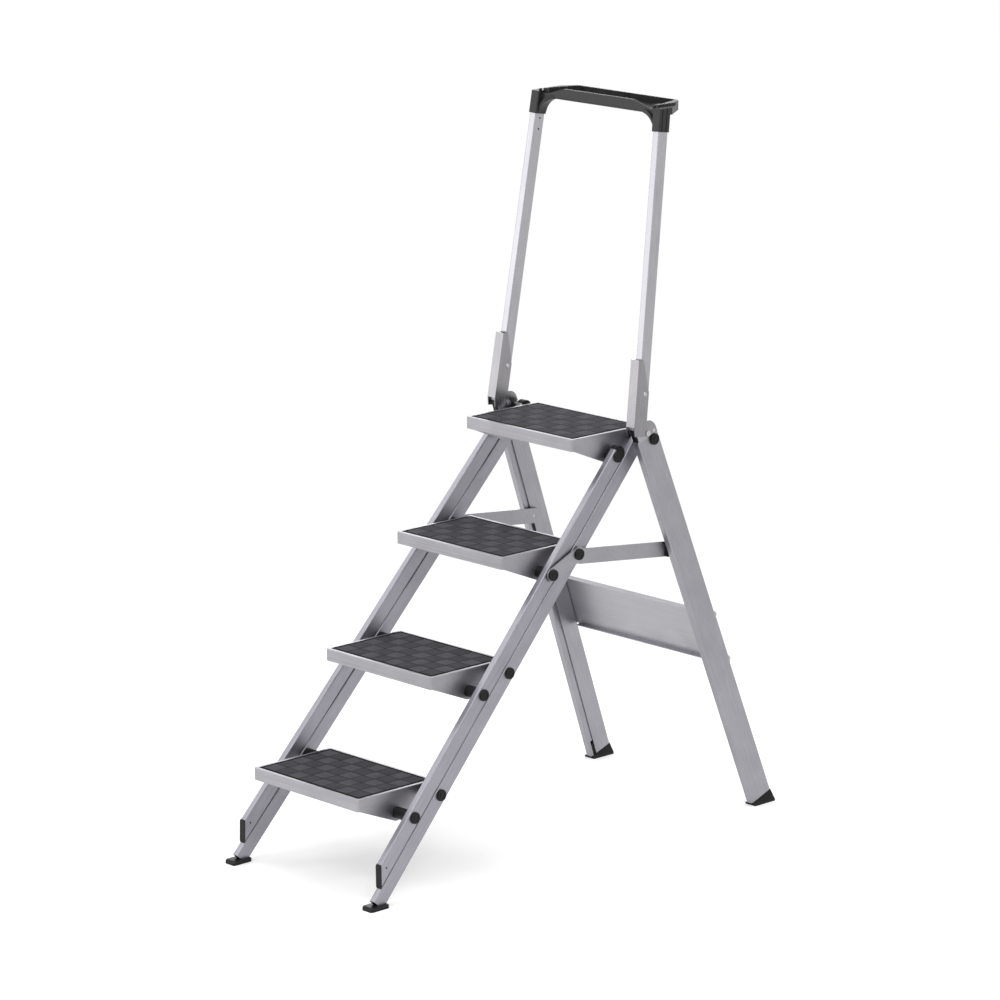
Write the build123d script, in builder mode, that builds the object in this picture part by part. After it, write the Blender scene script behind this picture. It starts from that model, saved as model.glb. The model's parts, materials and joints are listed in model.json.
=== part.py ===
from build123d import *
import os
from math import asin, atan2, cos, hypot, radians, sin, tan

# Folding step stool: a double-railed stair of treads, slotted rear legs and a handrail with a tool tray.
# Millimetres and degrees. +Z is up, the stair climbs towards +Y, right is +X.
# The origin is on the floor, in the middle of the footprint.

os.makedirs("parts", exist_ok=True)

# Stair
STEP_COUNT = 4
RISE = 230.0
RUN = 213.3
LOWER_STEP_COUNT = 2

# Clearances
ROD_FIT = 0.05
TONGUE_FIT = 0.25
MAT_FIT = 0.3
MOVING_GAP = 0.4

# Steps
STEP_WIDTH = 340.0
STEP_DEPTH = 226.0
STEP_NOSE = 112.4
STEP_SKIRT = 27.3
STEP_SHEET = 2.5
STEP_CORNER = 5.0
STEP_EDGE = 1.5
PIVOT_DROP = 50.3
FRONT_LOBE = 19.0
REAR_LOBE = 16.0
RIB_COUNT = 3
RIB_PITCH = 45.0
RIB_SETBACK = 82.0
RIB_HEIGHT = 9.0

# Mats
MAT_SIDE_MARGIN = 7.0
MAT_END_MARGIN = 8.0
MAT_CORNER = 4.0
MAT_THICKNESS = 3.0
MAT_PROUD = 0.5
MAT_COLUMNS = 8
MAT_ROWS = 5
GROOVE_WIDTH = 2.0
GROOVE_DEPTH = 1.0

# Rails
RAIL_WIDTH = 16.0
RAIL_DEPTH = 34.2
RAIL_WALL = 1.8
RAIL_CORNER = 3.0
RAIL_GAP = 1.3
RAIL_SPLAY = 1.7
RAIL_STEP_GAP = 41.1
RAIL_TOP = 8.0
FRONT_PIVOT_SETBACK = 139.5
PIVOT_STAGGER = 78.8
FRONT_RAIL_SETBACK = 38.5
PLUG_THICKNESS = 1.5
PLUG_LIP = 0.6
PLUG_TONGUE = 30.0
RAIL_HOLE_DROP = 126.0
RAIL_HOLE_RADIUS = 2.2

# Front feet
FRONT_SOLE_WIDTH = 32.0
FRONT_SOLE_LENGTH = 52.0
FRONT_SOLE_HEIGHT = 9.0
FRONT_SOLE_NOSE = 5.0
FRONT_SOLE_TOE = 4.0
FRONT_SOLE_BEVEL = 6.0
FRONT_SOLE_EDGE = 3.0

# Pivot rods, sleeves and caps
ROD_RADIUS = 5.0
SLEEVE_RADIUS = 13.0
CAP_RADIUS = 13.0
CAP_HEIGHT = 5.0
CAP_EDGE = 2.0
CAP_RING = 7.5
CAP_RING_WIDTH = 1.5
CAP_RING_DEPTH = 0.8
ROD_IN_CAP = 3.0
LEG_SLEEVE_RADIUS = 11.0

# Rear legs
LEG_ANGLE = 69.04
LEG_SPLAY = 2.3
LEG_RAIL_GAP = 17.76
LEG_WIDTH = 18.0
LEG_DEPTH = 64.3
LEG_FRONT = 46.5
LEG_WALL = 2.0
LEG_CORNER = 3.0
LEG_TOP = 12.0
SLOT_WIDTH = 10.0
SLOT_LEAD = 1.0
CHANNEL_DEPTH = 3.0
CHANNEL_WALL = 1.2
CHANNEL_ROOM = 14.0
CHANNEL_TRAVEL = 323.0
CHANNEL_END = 6.0

# Rear feet
REAR_SOLE_WIDTH = 32.0
REAR_SOLE_TOE_INSET = 0.5
REAR_SOLE_HEEL_INSET = 2.5
REAR_SOLE_TOE = 5.5
REAR_SOLE_HEIGHT = 4.0

# Cross panel
PANEL_TOP = 466.0
PANEL_HEIGHT = 134.0
PANEL_SHEET = 2.5
PANEL_HEM = 10.0
PANEL_SIDE_INSET = 3.0
PANEL_BOLT_INSET = 8.0
PANEL_BOLT_SIDE = 2.5
BOLT_HEAD_RADIUS = 8.0
BOLT_HEAD_HEIGHT = 6.0
BOLT_HEAD_TAPER = 15.0
BOLT_RADIUS = 3.0
BOLT_LENGTH = 12.0

# Link bars
LINK_REACH = 270.0
LINK_PIN_FRONT = 33.5
LINK_SAG = 4.7
LINK_HEIGHT = 35.0
LINK_THICKNESS = 3.5
LINK_END = 14.0
LINK_END_CORNER = 6.0
LINK_FRONT_LOBE = 15.5
LINK_REAR_LOBE = 17.0
LINK_RAIL_GAP = 2.0
LINK_FOLDED_GAP = 0.8
LINK_BEND = 25.0
SLIDER_LENGTH = 26.0
SLIDER_CORNER = 4.0
PIN_RADIUS = 3.0
PIN_TIP_GAP = 0.8

# Handrail hinge and brackets
HINGE_UP = 22.7
HINGE_FRONT = 14.2
HANDRAIL_ANGLE = 82.05
HANDRAIL_TILT = 2.5
BRACKET_GAP = 20.4
BRACKET_SHEET = 2.2
WEB_FRONT = 44.8
WEB_SHEET = 3.0
WEB_BOTTOM = 11.6
BRACKET_TOP = 161.6
BRACKET_TOP_DEPTH = 15.0
BRACKET_BACK = 6.0
BRACKET_BACK_TOP = 90.0
BRACKET_LOBE = 28.5
BRACKET_LOBE_BACK = 27.0
BRACKET_LOBE_UP = 5.3
BRACKET_UNDER = 8.2
BRACKET_UNDER_BACK = 2.5
BRACKET_TOE = 40.0
HINGE_HEAD_RADIUS = 6.5
HINGE_HEAD_HEIGHT = 1.5
STOP_PIN_RADIUS = 4.0
STOP_PIN_BACK = 19.0
RIVET_RADIUS = 3.0
RIVET_HEAD_RADIUS = 5.0
RIVET_HEAD_HEIGHT = 1.5
RIVET_HEAD_TAPER = 30.0
RIVET_UP = 86.3

# Leg heads
HEAD_RADIUS = 15.0
HEAD_TOP = 32.5
HEAD_TOP_FRONT = 25.0
HEAD_TOP_BACK = 6.0
HEAD_FACE_TOP = 21.5
HEAD_LEDGE = 2.7
HEAD_TONGUE = 40.0
HEAD_PAD = 3.0
HEAD_PAD_WIDTH = 12.0

# Handrail tubes
TUBE_WIDTH = 20.0
TUBE_DEPTH = 28.6
TUBE_WALL = 1.5
TUBE_CORNER = 3.0
TUBE_BOTTOM = 34.5
TUBE_FRONT = 32.1
TUBE_LENGTH = 662.0
TUBE_HOLE_RADIUS = 2.2
TUBE_HOLE_DROPS = (10.0, 35.0)

# Tool tray
TRAY_LID = 28.4
TRAY_HEIGHT = 21.2
TRAY_FRONT = 21.8
TRAY_REAR = 73.2
TRAY_END_REAR = 5.2
TRAY_END = 10.93
TRAY_END_DROP = 5.5
TRAY_FRONT_RISE = 5.0
TRAY_FRONT_RAMP = 18.0
TRAY_END_TAPER = 45.0
TRAY_REAR_CORNER = 20.0
TRAY_FLOOR = 5.0
TRAY_RIM = 6.0
TRAY_END_RIM = 31.0
TRAY_WELL_CORNER = 10.0
TRAY_EDGE = 2.0
TRAY_BELLY = 6.0
NOTCH_DROP = 10.0
NOTCH_FLAT = 20.0
NOTCH_REACH = 54.0
SOCKET_WALL = 2.2
SOCKET_DEPTH = 32.3
SOCKET_RIDGE = 1.2
SOCKET_RIDGE_WIDTH = 4.0
SOCKET_RIDGE_PITCH = 13.0
BRACE_REACH = 42.0
BRACE_DROP = 34.0
BRACE_THICKNESS = 16.0
BRACE_BULGE = 6.0
BRACE_RIB = 10.0
BRACE_RIB_DEPTH = 9.0
TRAY_SCREW_RADIUS = 2.0
TRAY_SCREW_HEAD = 4.0
TRAY_SCREW_HEAD_HEIGHT = 2.0
TRAY_SCREW_HEAD_TAPER = 20.0
TRAY_SCREW_LENGTH = 9.0
TRAY_SCREW_UP = 20.0

# Directions in the side view, and the same directions leaned in or out by each splay
SIDEWAYS = Vector(1, 0, 0)
REACH = 2.0 * STEP_WIDTH
stair_up = Vector(0, RUN, RISE).normalized()
stair_front = Vector(0, -RISE, RUN).normalized()
stair_pitch = hypot(RUN, RISE)
rail_up = stair_up * cos(radians(RAIL_SPLAY)) - SIDEWAYS * sin(radians(RAIL_SPLAY))
rail_side = SIDEWAYS * cos(radians(RAIL_SPLAY)) + stair_up * sin(radians(RAIL_SPLAY))
leg_down = Vector(0, cos(radians(LEG_ANGLE)), -sin(radians(LEG_ANGLE)))
leg_front = Vector(0, -sin(radians(LEG_ANGLE)), -cos(radians(LEG_ANGLE)))
leg_axis = leg_down * cos(radians(LEG_SPLAY)) + SIDEWAYS * sin(radians(LEG_SPLAY))
leg_side = SIDEWAYS * cos(radians(LEG_SPLAY)) - leg_down * sin(radians(LEG_SPLAY))
post_up = Vector(0, cos(radians(HANDRAIL_ANGLE)), sin(radians(HANDRAIL_ANGLE)))
post_front = Vector(0, -sin(radians(HANDRAIL_ANGLE)), cos(radians(HANDRAIL_ANGLE)))
post_axis = post_up * cos(radians(HANDRAIL_TILT)) - SIDEWAYS * sin(radians(HANDRAIL_TILT))
post_side = SIDEWAYS * cos(radians(HANDRAIL_TILT)) + post_up * sin(radians(HANDRAIL_TILT))

# Pivots in the side view, worked out from the toe of the front feet to the heel of the rear feet
pivot_step = stair_up * PIVOT_STAGGER - stair_front * (RAIL_DEPTH + RAIL_GAP)
top_pivot_height = RISE * STEP_COUNT - PIVOT_DROP + pivot_step.Z
toe_to_top_pivot = FRONT_PIVOT_SETBACK + RUN * (STEP_COUNT - 1) + pivot_step.Y
leg_heel = top_pivot_height / tan(radians(LEG_ANGLE)) + (LEG_DEPTH - LEG_FRONT) / sin(radians(LEG_ANGLE))
toe_y = -(toe_to_top_pivot + leg_heel - REAR_SOLE_HEEL_INSET) / 2
first_pivot = Vector(0, toe_y + FRONT_PIVOT_SETBACK, RISE - PIVOT_DROP)
front_pivots = [first_pivot + stair_up * (stair_pitch * index) for index in range(STEP_COUNT)]
rear_pivots = [pivot + pivot_step for pivot in front_pivots]
top_pivot = rear_pivots[-1]
link_front = front_pivots[LOWER_STEP_COUNT]
link_rear = rear_pivots[LOWER_STEP_COUNT]
link_pin = top_pivot + leg_down * LINK_REACH + leg_front * LINK_PIN_FRONT
hinge = top_pivot - leg_down * HINGE_UP + leg_front * HINGE_FRONT


def rail_x(point):
    """Sideways place of a rail's centre line beside a point of the side view."""
    first_x = STEP_WIDTH / 2 + RAIL_STEP_GAP + RAIL_WIDTH / 2
    return first_x - tan(radians(RAIL_SPLAY)) * (point - first_pivot).dot(stair_up)


def rail_outer_x(point):
    """Sideways place of a rail's outer face beside a point of the side view."""
    return rail_x(point) + RAIL_WIDTH / 2 / cos(radians(RAIL_SPLAY))


def leg_x(point):
    """Sideways place of a rear leg's centre line beside a point of the side view."""
    top_x = rail_outer_x(top_pivot) + LEG_RAIL_GAP + LEG_WIDTH / 2 / cos(radians(LEG_SPLAY))
    return top_x + tan(radians(LEG_SPLAY)) * (point - top_pivot).dot(leg_down)


def rail_plane(point):
    """Cross-section plane of a right-hand rail: x outwards, y to the rear, z up the rail."""
    return Plane((rail_x(point), point.Y, point.Z), x_dir=rail_side, z_dir=rail_up)


def rail_flank(point):
    """Plane along a right-hand rail's middle: x up the rail, z outwards."""
    return Plane((rail_x(point), point.Y, point.Z), x_dir=rail_up, z_dir=rail_side)


def leg_plane(point):
    """Cross-section plane of the right-hand rear leg: x outwards, y to the rear, z up the leg."""
    return Plane((leg_x(point), point.Y, point.Z), x_dir=leg_side, z_dir=-leg_axis)


def post_plane(height):
    """Cross-section plane of the right-hand handrail post: x outwards, y to the rear, z up the post."""
    origin = Vector(leg_x(hinge), hinge.Y, hinge.Z) + post_axis * height
    return Plane(origin, x_dir=post_side, z_dir=post_axis)


leg_head_plane = Plane((leg_x(hinge), hinge.Y, hinge.Z), x_dir=leg_front, z_dir=-leg_side)
bracket_plane = Plane((leg_x(hinge), hinge.Y, hinge.Z), x_dir=post_front, z_dir=-post_side)
leg_middle = LEG_DEPTH / 2 - LEG_FRONT
post_middle = TUBE_DEPTH / 2 - TUBE_FRONT


def bore(points, radius):
    """Cut a round hole along X through the current part at each point of the side view."""
    with BuildSketch(Plane.YZ) as holes:
        with Locations(*[(point.Y, point.Z) for point in points]):
            Circle(radius)
    extrude(holes.sketch, amount=REACH, both=True, mode=Mode.SUBTRACT)


def save(builder, name):
    """Label a finished piece and write it."""
    builder.part.label = name
    export_step(builder.part, f"parts/{name}.step")


def save_pair(right, name):
    """Write a right-hand piece and its mirror image."""
    save(right, f"{name}_right")
    with BuildPart() as left:
        mirror(right.part, about=Plane.YZ)
    save(left, f"{name}_left")


# Rear rails stand on the floor, front rails end above it with an upright cut
rail_low = -first_pivot.Z / stair_up.Z - RAIL_DEPTH - RAIL_GAP
rail_high = stair_pitch * (STEP_COUNT - 1) + RAIL_TOP
core_width = RAIL_WIDTH - 2 * RAIL_WALL - 2 * TONGUE_FIT
core_depth = RAIL_DEPTH - 2 * RAIL_WALL - 2 * TONGUE_FIT
core_corner = RAIL_CORNER - RAIL_WALL


def rail_tube(pivot):
    """Hollow rail along a line of pivots, from under the floor to its square top."""
    with BuildSketch(rail_plane(pivot + stair_up * rail_low)) as section:
        RectangleRounded(RAIL_WIDTH, RAIL_DEPTH, RAIL_CORNER)
        RectangleRounded(
            RAIL_WIDTH - 2 * RAIL_WALL,
            RAIL_DEPTH - 2 * RAIL_WALL,
            RAIL_CORNER - RAIL_WALL,
            mode=Mode.SUBTRACT,
        )
    extrude(section.sketch, amount=(rail_high - rail_low) / cos(radians(RAIL_SPLAY)))


def rail_core(pivot):
    """Solid bar that slips inside a rail, over the rail's whole length."""
    with BuildSketch(rail_plane(pivot + stair_up * rail_low)) as section:
        RectangleRounded(core_width, core_depth, core_corner)
    extrude(section.sketch, amount=(rail_high - rail_low) / cos(radians(RAIL_SPLAY)))


front_cut = toe_y + FRONT_RAIL_SETBACK
plug_face = Plane((0, front_cut - PLUG_THICKNESS, 0), x_dir=(1, 0, 0), z_dir=(0, 1, 0))
rail_face = Plane((0, front_cut, 0), x_dir=(1, 0, 0), z_dir=(0, 1, 0))
tongue_face = Plane((0, front_cut + PLUG_TONGUE, 0), x_dir=(1, 0, 0), z_dir=(0, 1, 0))

with BuildPart() as front_rail:
    rail_tube(front_pivots[0])
    split(bisect_by=rail_face, keep=Keep.TOP)
    bore(front_pivots, ROD_RADIUS + ROD_FIT)
    bore([first_pivot - stair_up * RAIL_HOLE_DROP], RAIL_HOLE_RADIUS)
save_pair(front_rail, "front_rail")

with BuildPart() as rear_rail:
    rail_tube(rear_pivots[0])
    split(bisect_by=Plane.XY.offset(FRONT_SOLE_HEIGHT), keep=Keep.TOP)
    bore(rear_pivots, ROD_RADIUS + ROD_FIT)
save_pair(rear_rail, "rear_rail")

# Lower plugs of the front rails: a plate over the upright cut and a tongue inside the rail
with BuildPart() as plug_plate:
    with BuildSketch(rail_plane(front_pivots[0] + stair_up * rail_low)):
        RectangleRounded(RAIL_WIDTH + 2 * PLUG_LIP, RAIL_DEPTH + 2 * PLUG_LIP, RAIL_CORNER)
    extrude(amount=rail_high - rail_low)
    split(bisect_by=plug_face, keep=Keep.TOP)
    split(bisect_by=rail_face, keep=Keep.BOTTOM)

with BuildPart() as plug_tongue:
    rail_core(front_pivots[0])
    split(bisect_by=plug_face, keep=Keep.TOP)
    split(bisect_by=tongue_face, keep=Keep.BOTTOM)

with BuildPart() as front_rail_plugs:
    add(plug_plate.part)
    add(plug_tongue.part)
    mirror(about=Plane.YZ)
save(front_rail_plugs, "front_rail_plugs")


def rail_cap(pivot):
    """Half-round cap on a rail's square top with a tongue inside the rail."""
    top = pivot + stair_up * RAIL_TOP
    with BuildSketch(rail_flank(top)) as dome:
        Circle(RAIL_DEPTH / 2)
        with Locations((-RAIL_DEPTH / 2, 0)):
            Rectangle(RAIL_DEPTH, RAIL_DEPTH, mode=Mode.SUBTRACT)
    extrude(dome.sketch, amount=RAIL_WIDTH / 2, both=True)
    with BuildSketch(rail_plane(top)) as tongue:
        RectangleRounded(core_width, core_depth, core_corner)
    extrude(tongue.sketch, amount=-PLUG_TONGUE)
    bore([pivot], ROD_RADIUS + ROD_FIT)
    mirror(about=Plane.YZ)


with BuildPart() as front_rail_caps:
    rail_cap(front_pivots[-1])
save(front_rail_caps, "front_rail_caps")

with BuildPart() as rear_rail_caps:
    rail_cap(rear_pivots[-1])
save(rear_rail_caps, "rear_rail_caps")

# Front feet: a sole with a bevelled nose and a tongue up the rear rail
front_foot_x = rail_x(rear_pivots[0] - stair_up * (rear_pivots[0].Z / stair_up.Z))

with BuildPart() as front_tongue:
    rail_core(rear_pivots[0])
    split(bisect_by=Plane.XY.offset(FRONT_SOLE_HEIGHT / 2), keep=Keep.TOP)
    split(bisect_by=Plane.XY.offset(FRONT_SOLE_HEIGHT + PLUG_TONGUE), keep=Keep.BOTTOM)

nose_out = Vector(0, FRONT_SOLE_TOE - FRONT_SOLE_HEIGHT, FRONT_SOLE_BEVEL)
nose_plane = Plane((0, toe_y, FRONT_SOLE_TOE), x_dir=SIDEWAYS, z_dir=nose_out)

with BuildPart() as front_foot:
    with BuildSketch():
        with Locations((front_foot_x, toe_y + FRONT_SOLE_LENGTH / 2)):
            Rectangle(FRONT_SOLE_WIDTH, FRONT_SOLE_LENGTH)
    extrude(amount=FRONT_SOLE_HEIGHT)
    fillet(front_foot.edges().filter_by(Axis.Z).group_by(Axis.Y)[0], radius=FRONT_SOLE_NOSE)
    fillet(front_foot.edges().filter_by(Axis.Z).group_by(Axis.Y)[-1], radius=FRONT_SOLE_EDGE)
    split(bisect_by=nose_plane, keep=Keep.BOTTOM)
    add(front_tongue.part)
save_pair(front_foot, "front_foot")


# Steps: a pressed tread with a skirt, deep tapered side panels, ribs and a recess for the mat
plate_depth = MAT_THICKNESS - MAT_PROUD + STEP_SHEET
mat_width = STEP_WIDTH - 2 * MAT_SIDE_MARGIN
mat_length = STEP_DEPTH - 2 * MAT_END_MARGIN

for number, pivot in enumerate(front_pivots, start=1):
    rear_pivot = pivot + pivot_step
    step_top = pivot.Z + PIVOT_DROP
    step_front = pivot.Y - STEP_NOSE
    step_middle = step_front + STEP_DEPTH / 2

    with BuildPart() as step:
        with BuildSketch(Plane.XY.offset(step_top)):
            with Locations((0, step_middle)):
                RectangleRounded(STEP_WIDTH, STEP_DEPTH, STEP_CORNER)
        extrude(amount=-STEP_SKIRT)
        fillet(step.faces().sort_by(Axis.Z)[-1].edges(), radius=STEP_EDGE)
        with BuildSketch(Plane.XY.offset(step_top - plate_depth)):
            with Locations((0, step_middle)):
                Rectangle(STEP_WIDTH - 2 * STEP_SHEET, STEP_DEPTH - 2 * STEP_SHEET)
        extrude(amount=-STEP_SKIRT, mode=Mode.SUBTRACT)
        with BuildSketch(Plane.XY.offset(step_top - plate_depth)):
            with Locations((0, step_front + RIB_SETBACK)):
                with GridLocations(0, RIB_PITCH, 1, RIB_COUNT):
                    Rectangle(STEP_WIDTH - STEP_SHEET, STEP_SHEET)
        extrude(amount=-RIB_HEIGHT)
        with BuildSketch(Plane.YZ.offset(STEP_WIDTH / 2)):
            with Locations((step_front + STEP_DEPTH / 2, step_top - (plate_depth + STEP_SKIRT) / 2)):
                Rectangle(STEP_DEPTH - 2 * STEP_CORNER, STEP_SKIRT - plate_depth)
            with Locations((pivot.Y, pivot.Z)):
                Circle(FRONT_LOBE)
            with Locations((rear_pivot.Y, rear_pivot.Z)):
                Circle(REAR_LOBE)
            make_hull()
        extrude(amount=-STEP_SHEET)
        mirror(about=Plane.YZ)
        bore([pivot, rear_pivot], ROD_RADIUS + ROD_FIT)
        with BuildSketch(Plane.XY.offset(step_top)):
            with Locations((0, step_middle)):
                RectangleRounded(mat_width + 2 * MAT_FIT, mat_length + 2 * MAT_FIT, MAT_CORNER + MAT_FIT)
        extrude(amount=MAT_PROUD - MAT_THICKNESS, mode=Mode.SUBTRACT)
    save(step, f"step_{number}")

    with BuildPart() as mat:
        with BuildSketch(Plane.XY.offset(step_top + MAT_PROUD)):
            with Locations((0, step_middle)):
                RectangleRounded(mat_width, mat_length, MAT_CORNER)
        extrude(amount=-MAT_THICKNESS)
        with BuildSketch(Plane.XY.offset(step_top + MAT_PROUD)):
            with Locations((0, step_middle)):
                with GridLocations(mat_width / MAT_COLUMNS, 0, MAT_COLUMNS - 1, 1):
                    Rectangle(GROOVE_WIDTH, STEP_DEPTH)
                with GridLocations(0, mat_length / MAT_ROWS, 1, MAT_ROWS - 1):
                    Rectangle(STEP_WIDTH, GROOVE_WIDTH)
        extrude(amount=-GROOVE_DEPTH, mode=Mode.SUBTRACT)
    save(mat, f"mat_{number}")

# Link bars: plates outside the rails that share the third step's pivots and run back to the leg slots
link_run = link_pin - link_rear
link_length = link_run.length
link_angle = atan2(link_run.Z, link_run.Y) + asin(LINK_SAG / link_length)
link_along = Vector(0, cos(link_angle), sin(link_angle))
link_up = Vector(0, -sin(link_angle), cos(link_angle))
link_near_x = rail_outer_x(link_front) + LINK_RAIL_GAP
link_far_x = rail_outer_x(link_rear - stair_up * link_length) + LINK_FOLDED_GAP
link_tip = link_length + LINK_END
link_slope = (link_far_x - link_near_x) / (link_length - LINK_BEND)
link_tip_x = link_near_x + link_slope * (link_tip - LINK_BEND)
link_start = -hypot(pivot_step.Y, pivot_step.Z) - LINK_FRONT_LOBE
link_edge = Plane((0, link_rear.Y, link_rear.Z), x_dir=link_along, z_dir=link_up)
link_face = Plane((0, link_rear.Y, link_rear.Z), x_dir=link_along, z_dir=SIDEWAYS)

with BuildPart() as link_bar:
    with BuildSketch(Plane.YZ):
        with Locations((link_front.Y, link_front.Z)):
            Circle(LINK_FRONT_LOBE)
        with Locations((link_rear.Y, link_rear.Z)):
            Circle(LINK_REAR_LOBE)
        make_hull()
    extrude(amount=REACH)
    with BuildSketch(link_face):
        with Locations((link_tip / 2, -LINK_SAG)):
            RectangleRounded(link_tip, LINK_HEIGHT, LINK_END_CORNER)
    extrude(amount=REACH)
    with BuildSketch(link_edge):
        with BuildLine():
            Polyline(
                (link_start, -link_near_x),
                (LINK_BEND, -link_near_x),
                (link_tip, -link_tip_x),
                (link_tip, -link_tip_x - LINK_THICKNESS),
                (LINK_BEND, -link_near_x - LINK_THICKNESS),
                (link_start, -link_near_x - LINK_THICKNESS),
                close=True,
            )
        make_face()
    extrude(amount=REACH, both=True, mode=Mode.INTERSECT)
    bore([link_front, link_rear], ROD_RADIUS + ROD_FIT)
    bore([link_pin], PIN_RADIUS + ROD_FIT)
save_pair(link_bar, "link_bar")

# Sliders fill the space between the link bars and the legs, and their pins run in the leg slots
leg_inner_x = leg_x(link_pin) - LEG_WIDTH / 2 / cos(radians(LEG_SPLAY))
leg_lean = tan(radians(LEG_SPLAY)) * LINK_HEIGHT / 2
slider_outer_x = leg_inner_x - leg_lean - MOVING_GAP
slider_inner_x = link_tip_x + LINK_THICKNESS / cos(link_slope)
pin_tip_x = leg_x(link_pin) + LEG_WIDTH / 2 - LEG_WALL - PIN_TIP_GAP

with BuildPart() as link_sliders:
    with BuildSketch(link_face.offset(slider_inner_x)):
        with Locations((link_tip - SLIDER_LENGTH / 2, -LINK_SAG)):
            RectangleRounded(SLIDER_LENGTH, LINK_HEIGHT, SLIDER_CORNER)
    extrude(amount=slider_outer_x - slider_inner_x)
    bore([link_pin], PIN_RADIUS + ROD_FIT)
    mirror(about=Plane.YZ)
save(link_sliders, "link_sliders")

with BuildPart() as link_pins:
    with BuildSketch(Plane.YZ.offset(link_far_x)):
        with Locations((link_pin.Y, link_pin.Z)):
            Circle(PIN_RADIUS)
    extrude(amount=pin_tip_x - link_far_x)
    mirror(about=Plane.YZ)
save(link_pins, "link_pins")

# Pivot rods run right across under each step, and sleeves keep the step off the rails
link_outer_x = link_near_x + LINK_THICKNESS + MOVING_GAP
leg_outer_x = leg_x(top_pivot) + LEG_WIDTH / 2 / cos(radians(LEG_SPLAY))
leg_cap_x = leg_outer_x + tan(radians(LEG_SPLAY)) * CAP_RADIUS + MOVING_GAP
sleeve_lean = tan(radians(RAIL_SPLAY)) * SLEEVE_RADIUS


def rod_seat_x(point):
    """Sideways place of the face that a rod's end cap sits on."""
    if point is top_pivot:
        return leg_cap_x
    if point in (link_front, link_rear):
        return link_outer_x
    return rail_outer_x(point)


for row, pivots in (("front", front_pivots), ("rear", rear_pivots)):
    for number, pivot in enumerate(pivots, start=1):
        seat_x = rod_seat_x(pivot)
        with BuildPart() as rod:
            with BuildSketch(Plane.YZ):
                with Locations((pivot.Y, pivot.Z)):
                    Circle(ROD_RADIUS)
            extrude(amount=seat_x + ROD_IN_CAP, both=True)
        save(rod, f"{row}_rod_{number}")

        sleeve_start = STEP_WIDTH / 2 + MOVING_GAP
        sleeve_end = rail_outer_x(pivot) - RAIL_WIDTH / cos(radians(RAIL_SPLAY)) - sleeve_lean
        with BuildPart() as sleeves:
            with BuildSketch(Plane.YZ.offset(sleeve_start)):
                with Locations((pivot.Y, pivot.Z)):
                    Circle(SLEEVE_RADIUS)
                    Circle(ROD_RADIUS + ROD_FIT, mode=Mode.SUBTRACT)
            extrude(amount=sleeve_end - sleeve_start)
            mirror(about=Plane.YZ)
        save(sleeves, f"{row}_sleeves_{number}")

# End caps: one domed button with a ring groove and a blind hole, set on the rails, the link bars and the legs
with BuildPart() as cap:
    with BuildSketch():
        Circle(CAP_RADIUS)
    extrude(amount=CAP_HEIGHT)
    fillet(cap.faces().sort_by(Axis.Z)[-1].edges(), radius=CAP_EDGE)
    with BuildSketch(Plane.XY.offset(CAP_HEIGHT)):
        Circle(CAP_RING)
        Circle(CAP_RING - CAP_RING_WIDTH, mode=Mode.SUBTRACT)
    extrude(amount=-CAP_RING_DEPTH, mode=Mode.SUBTRACT)
    with BuildSketch():
        Circle(ROD_RADIUS + TONGUE_FIT)
    extrude(amount=ROD_IN_CAP + TONGUE_FIT, mode=Mode.SUBTRACT)


def rail_seat(point):
    """Plane on a rail's outer face, facing outwards."""
    return Plane((rail_outer_x(point), point.Y, point.Z), x_dir=rail_up, z_dir=rail_side)


def free_seat(point, seat_x):
    """Plane just off a moving bar's outer face, square to the rod and facing outwards."""
    return Plane((seat_x, point.Y, point.Z), x_dir=(0, 1, 0), z_dir=SIDEWAYS)


front_seats = [rail_seat(pivot) for pivot in front_pivots if pivot is not link_front]
front_seats.append(free_seat(link_front, link_outer_x))
rear_seats = [rail_seat(pivot) for pivot in rear_pivots if pivot is not link_rear and pivot is not top_pivot]
rear_seats.append(free_seat(link_rear, link_outer_x))

with BuildPart() as front_rod_caps:
    with Locations(*[Location(seat) for seat in front_seats]):
        add(cap.part)
    mirror(about=Plane.YZ)
save(front_rod_caps, "front_rod_caps")

with BuildPart() as rear_rod_caps:
    with Locations(*[Location(seat) for seat in rear_seats]):
        add(cap.part)
    mirror(about=Plane.YZ)
save(rear_rod_caps, "rear_rod_caps")

with BuildPart() as leg_pivot_caps:
    with Locations(Location(free_seat(top_pivot, leg_cap_x))):
        add(cap.part)
    mirror(about=Plane.YZ)
save(leg_pivot_caps, "leg_pivot_caps")

leg_inner_top_x = leg_outer_x - LEG_WIDTH / cos(radians(LEG_SPLAY))
leg_sleeve_start = rail_outer_x(top_pivot) + tan(radians(RAIL_SPLAY)) * LEG_SLEEVE_RADIUS
leg_sleeve_end = leg_inner_top_x - tan(radians(LEG_SPLAY)) * LEG_SLEEVE_RADIUS - MOVING_GAP

with BuildPart() as leg_sleeves:
    with BuildSketch(Plane.YZ.offset(leg_sleeve_start)):
        with Locations((top_pivot.Y, top_pivot.Z)):
            Circle(LEG_SLEEVE_RADIUS)
            Circle(ROD_RADIUS + ROD_FIT, mode=Mode.SUBTRACT)
    extrude(amount=leg_sleeve_end - leg_sleeve_start)
    mirror(about=Plane.YZ)
save(leg_sleeves, "leg_sleeves")

# Rear legs: hollow bars with a slot down the inner face for the slider pins
leg_head_point = top_pivot - leg_down * LEG_TOP
leg_length = (top_pivot.Z - LEG_FRONT * cos(radians(LEG_ANGLE)) - REAR_SOLE_TOE) / sin(radians(LEG_ANGLE))
leg_foot_point = top_pivot + leg_down * leg_length
slot_front = LINK_PIN_FRONT + SLOT_LEAD


def bolt_x(place):
    """Sideways place of a panel bolt, a little inside the leg's centre line."""
    return leg_x(place) - PANEL_BOLT_SIDE


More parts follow.
